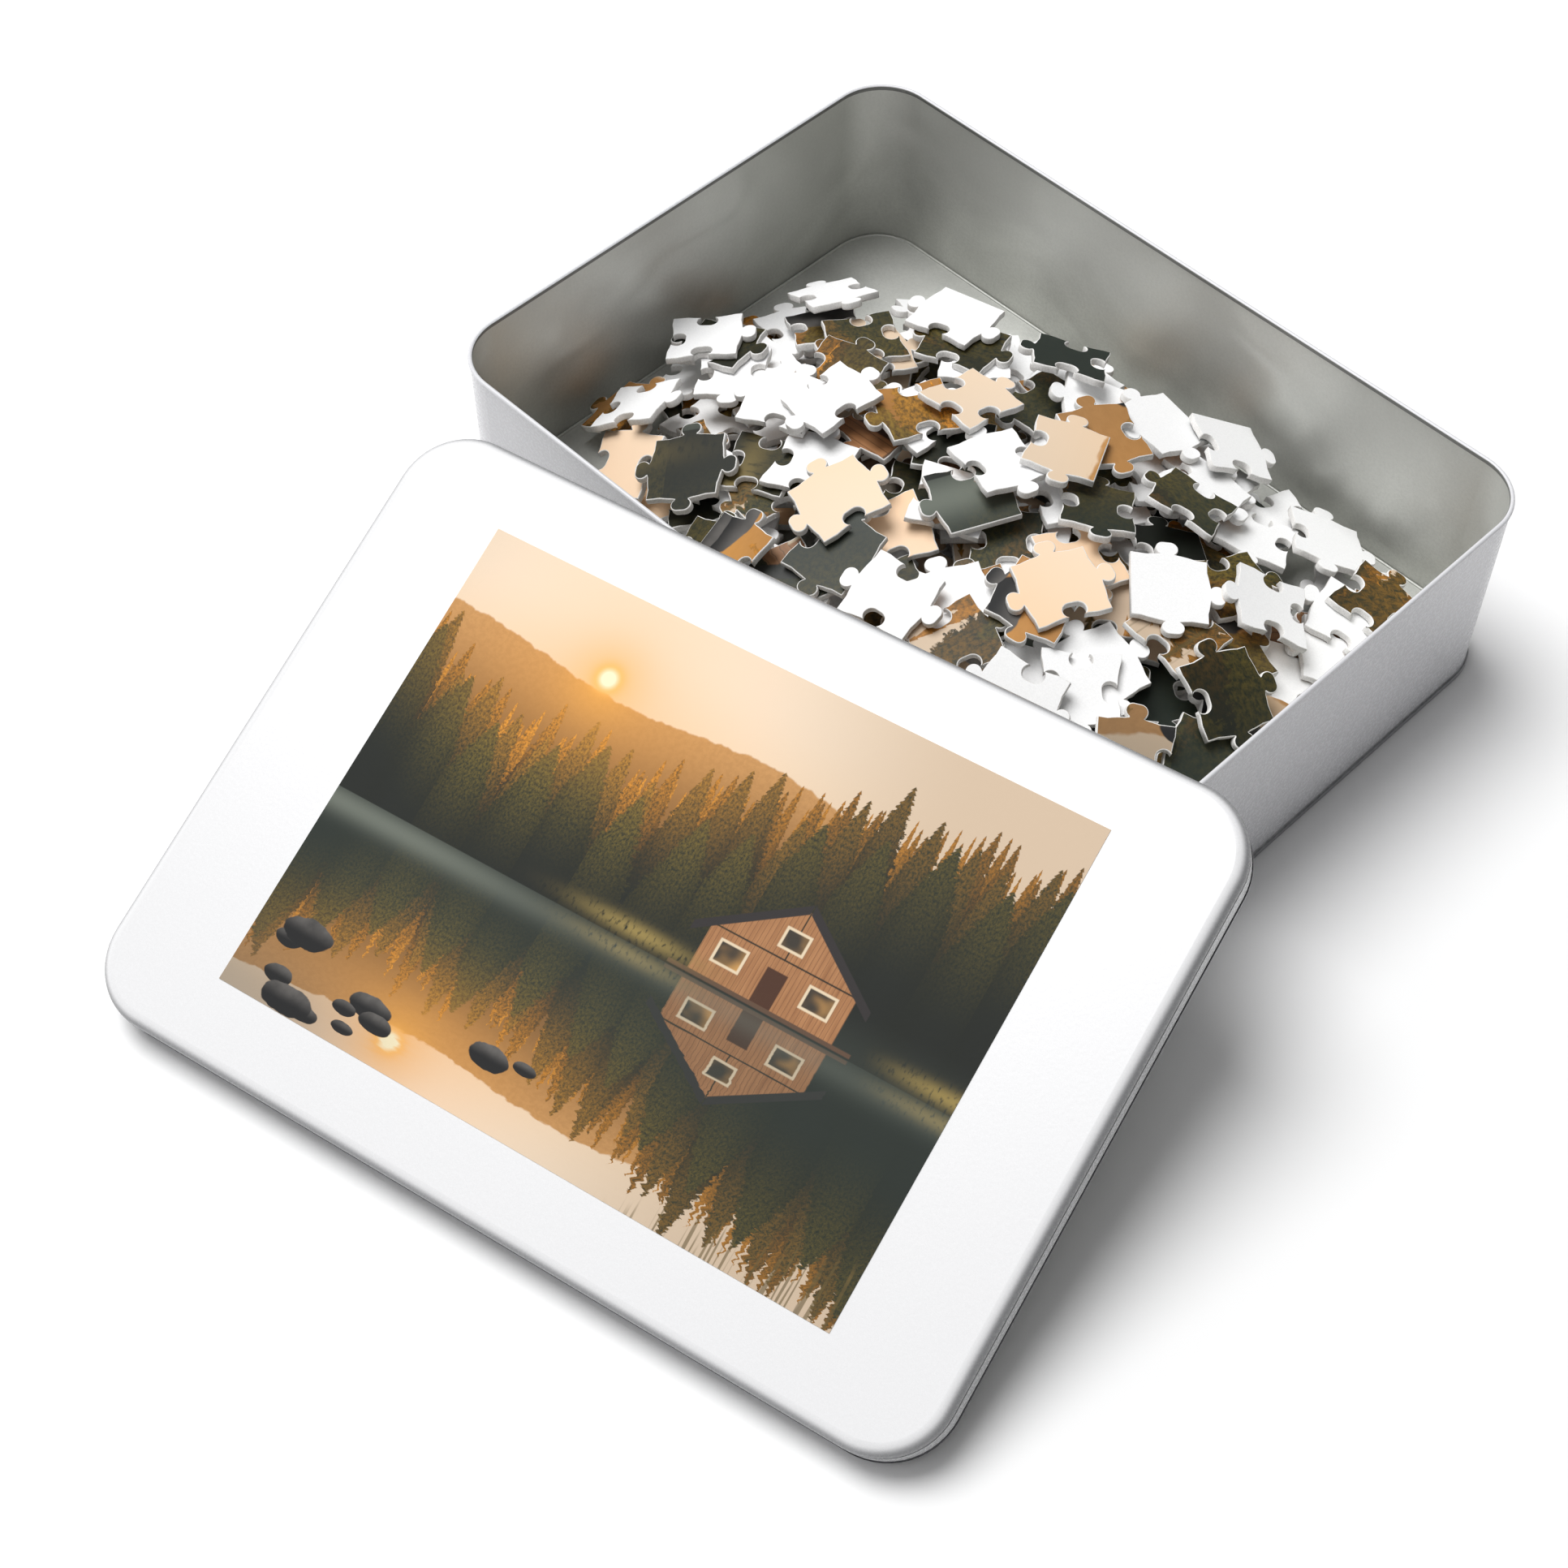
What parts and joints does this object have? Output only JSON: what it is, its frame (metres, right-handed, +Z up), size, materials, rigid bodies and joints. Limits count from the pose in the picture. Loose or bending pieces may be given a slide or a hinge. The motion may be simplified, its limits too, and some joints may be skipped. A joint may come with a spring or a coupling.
{
  "type": "boxed jigsaw puzzle",
  "caption": "Open rectangular tin full of loose die-cut jigsaw pieces, with its printed lid leaning against the front of the tin.",
  "frame": {"origin": "on the table, under the middle of the box that holds tin and leaning lid together", "axes": "+X along the tin's long side, +Y from the leaning lid to the tin's back, +Z up; the tin stands on z = 0"},
  "size_m": [0.2842, 0.3322, 0.0711],
  "materials": {
    "white_lacquer": "gloss",
    "bare_tinplate": "brushed",
    "curled_hem": "polished",
    "printed_picture": "gloss",
    "puzzle_board": "matte"
  },
  "bodies": {
    "tin": {"tin_wall": "white_lacquer", "tin_floor": "bare_tinplate", "tin_seam": "bare_tinplate", "heap_layer_01": "puzzle_board", "heap_layer_02": "puzzle_board", "heap_layer_03": "puzzle_board", "heap_layer_04": "puzzle_board", "heap_layer_05": "puzzle_board", "heap_layer_06": "puzzle_board", "heap_layer_07": "puzzle_board", "heap_layer_08": "puzzle_board", "heap_layer_09": "puzzle_board", "heap_layer_10": "puzzle_board", "heap_layer_11": "puzzle_board", "heap_layer_12": "puzzle_board", "heap_layer_13": "puzzle_board", "heap_layer_14": "puzzle_board", "heap_layer_15": "puzzle_board", "heap_layer_16": "puzzle_board", "heap_layer_17": "puzzle_board", "heap_layer_18": "puzzle_board", "heap_layer_19": "puzzle_board", "heap_layer_20": "puzzle_board", "heap_layer_21": "puzzle_board", "heap_layer_22": "puzzle_board", "heap_layer_23": "puzzle_board", "heap_layer_24": "puzzle_board", "heap_layer_25": "puzzle_board", "heap_layer_26": "puzzle_board", "heap_layer_27": "puzzle_board", "heap_layer_28": "puzzle_board", "heap_layer_29": "puzzle_board"},
    "lid": {"lid_shell": "white_lacquer", "lid_hem": "curled_hem", "lid_picture": "printed_picture"},
    "loose_piece_01_body": {"loose_piece_01": "puzzle_board"},
    "loose_piece_02_body": {"loose_piece_02": "puzzle_board"},
    "loose_piece_03_body": {"loose_piece_03": "puzzle_board"},
    "loose_piece_04_body": {"loose_piece_04": "puzzle_board"},
    "loose_piece_05_body": {"loose_piece_05": "puzzle_board"},
    "loose_piece_06_body": {"loose_piece_06": "puzzle_board"},
    "loose_piece_07_body": {"loose_piece_07": "puzzle_board"},
    "loose_piece_08_body": {"loose_piece_08": "puzzle_board"},
    "loose_piece_09_body": {"loose_piece_09": "puzzle_board"},
    "loose_piece_10_body": {"loose_piece_10": "puzzle_board"},
    "loose_piece_11_body": {"loose_piece_11": "puzzle_board"},
    "loose_piece_12_body": {"loose_piece_12": "puzzle_board"},
    "loose_piece_13_body": {"loose_piece_13": "puzzle_board"},
    "loose_piece_14_body": {"loose_piece_14": "puzzle_board"},
    "loose_piece_15_body": {"loose_piece_15": "puzzle_board"},
    "loose_piece_16_body": {"loose_piece_16": "puzzle_board"},
    "loose_piece_17_body": {"loose_piece_17": "puzzle_board"},
    "loose_piece_18_body": {"loose_piece_18": "puzzle_board"},
    "loose_piece_19_body": {"loose_piece_19": "puzzle_board"},
    "loose_piece_20_body": {"loose_piece_20": "puzzle_board"}
  },
  "joints": [
    {"name": "lid_lift_off", "type": "slide", "parent": "tin", "child": "lid", "axis": [0, 0, 1], "range_m": [0, 0.09]},
    {"name": "loose_piece_01_lift_out", "type": "slide", "parent": "tin", "child": "loose_piece_01_body", "axis": [0, 0, 1], "range_m": [0, 0.08]},
    {"name": "loose_piece_02_lift_out", "type": "slide", "parent": "tin", "child": "loose_piece_02_body", "axis": [0, 0, 1], "range_m": [0, 0.08]},
    {"name": "loose_piece_03_lift_out", "type": "slide", "parent": "tin", "child": "loose_piece_03_body", "axis": [0, 0, 1], "range_m": [0, 0.08]},
    {"name": "loose_piece_04_lift_out", "type": "slide", "parent": "tin", "child": "loose_piece_04_body", "axis": [0, 0, 1], "range_m": [0, 0.08]},
    {"name": "loose_piece_05_lift_out", "type": "slide", "parent": "tin", "child": "loose_piece_05_body", "axis": [0, 0, 1], "range_m": [0, 0.08]},
    {"name": "loose_piece_06_lift_out", "type": "slide", "parent": "tin", "child": "loose_piece_06_body", "axis": [0, 0, 1], "range_m": [0, 0.08]},
    {"name": "loose_piece_07_lift_out", "type": "slide", "parent": "tin", "child": "loose_piece_07_body", "axis": [0, 0, 1], "range_m": [0, 0.08]},
    {"name": "loose_piece_08_lift_out", "type": "slide", "parent": "tin", "child": "loose_piece_08_body", "axis": [0, 0, 1], "range_m": [0, 0.08]},
    {"name": "loose_piece_09_lift_out", "type": "slide", "parent": "tin", "child": "loose_piece_09_body", "axis": [0, 0, 1], "range_m": [0, 0.08]},
    {"name": "loose_piece_10_lift_out", "type": "slide", "parent": "tin", "child": "loose_piece_10_body", "axis": [0, 0, 1], "range_m": [0, 0.08]},
    {"name": "loose_piece_11_lift_out", "type": "slide", "parent": "tin", "child": "loose_piece_11_body", "axis": [0, 0, 1], "range_m": [0, 0.08]},
    {"name": "loose_piece_12_lift_out", "type": "slide", "parent": "tin", "child": "loose_piece_12_body", "axis": [0, 0, 1], "range_m": [0, 0.08]},
    {"name": "loose_piece_13_lift_out", "type": "slide", "parent": "tin", "child": "loose_piece_13_body", "axis": [0, 0, 1], "range_m": [0, 0.08]},
    {"name": "loose_piece_14_lift_out", "type": "slide", "parent": "tin", "child": "loose_piece_14_body", "axis": [0, 0, 1], "range_m": [0, 0.08]},
    {"name": "loose_piece_15_lift_out", "type": "slide", "parent": "tin", "child": "loose_piece_15_body", "axis": [0, 0, 1], "range_m": [0, 0.08]},
    {"name": "loose_piece_16_lift_out", "type": "slide", "parent": "tin", "child": "loose_piece_16_body", "axis": [0, 0, 1], "range_m": [0, 0.08]},
    {"name": "loose_piece_17_lift_out", "type": "slide", "parent": "tin", "child": "loose_piece_17_body", "axis": [0, 0, 1], "range_m": [0, 0.08]},
    {"name": "loose_piece_18_lift_out", "type": "slide", "parent": "tin", "child": "loose_piece_18_body", "axis": [0, 0, 1], "range_m": [0, 0.08]},
    {"name": "loose_piece_19_lift_out", "type": "slide", "parent": "tin", "child": "loose_piece_19_body", "axis": [0, 0, 1], "range_m": [0, 0.08]},
    {"name": "loose_piece_20_lift_out", "type": "slide", "parent": "tin", "child": "loose_piece_20_body", "axis": [0, 0, 1], "range_m": [0, 0.08]}
  ]
}
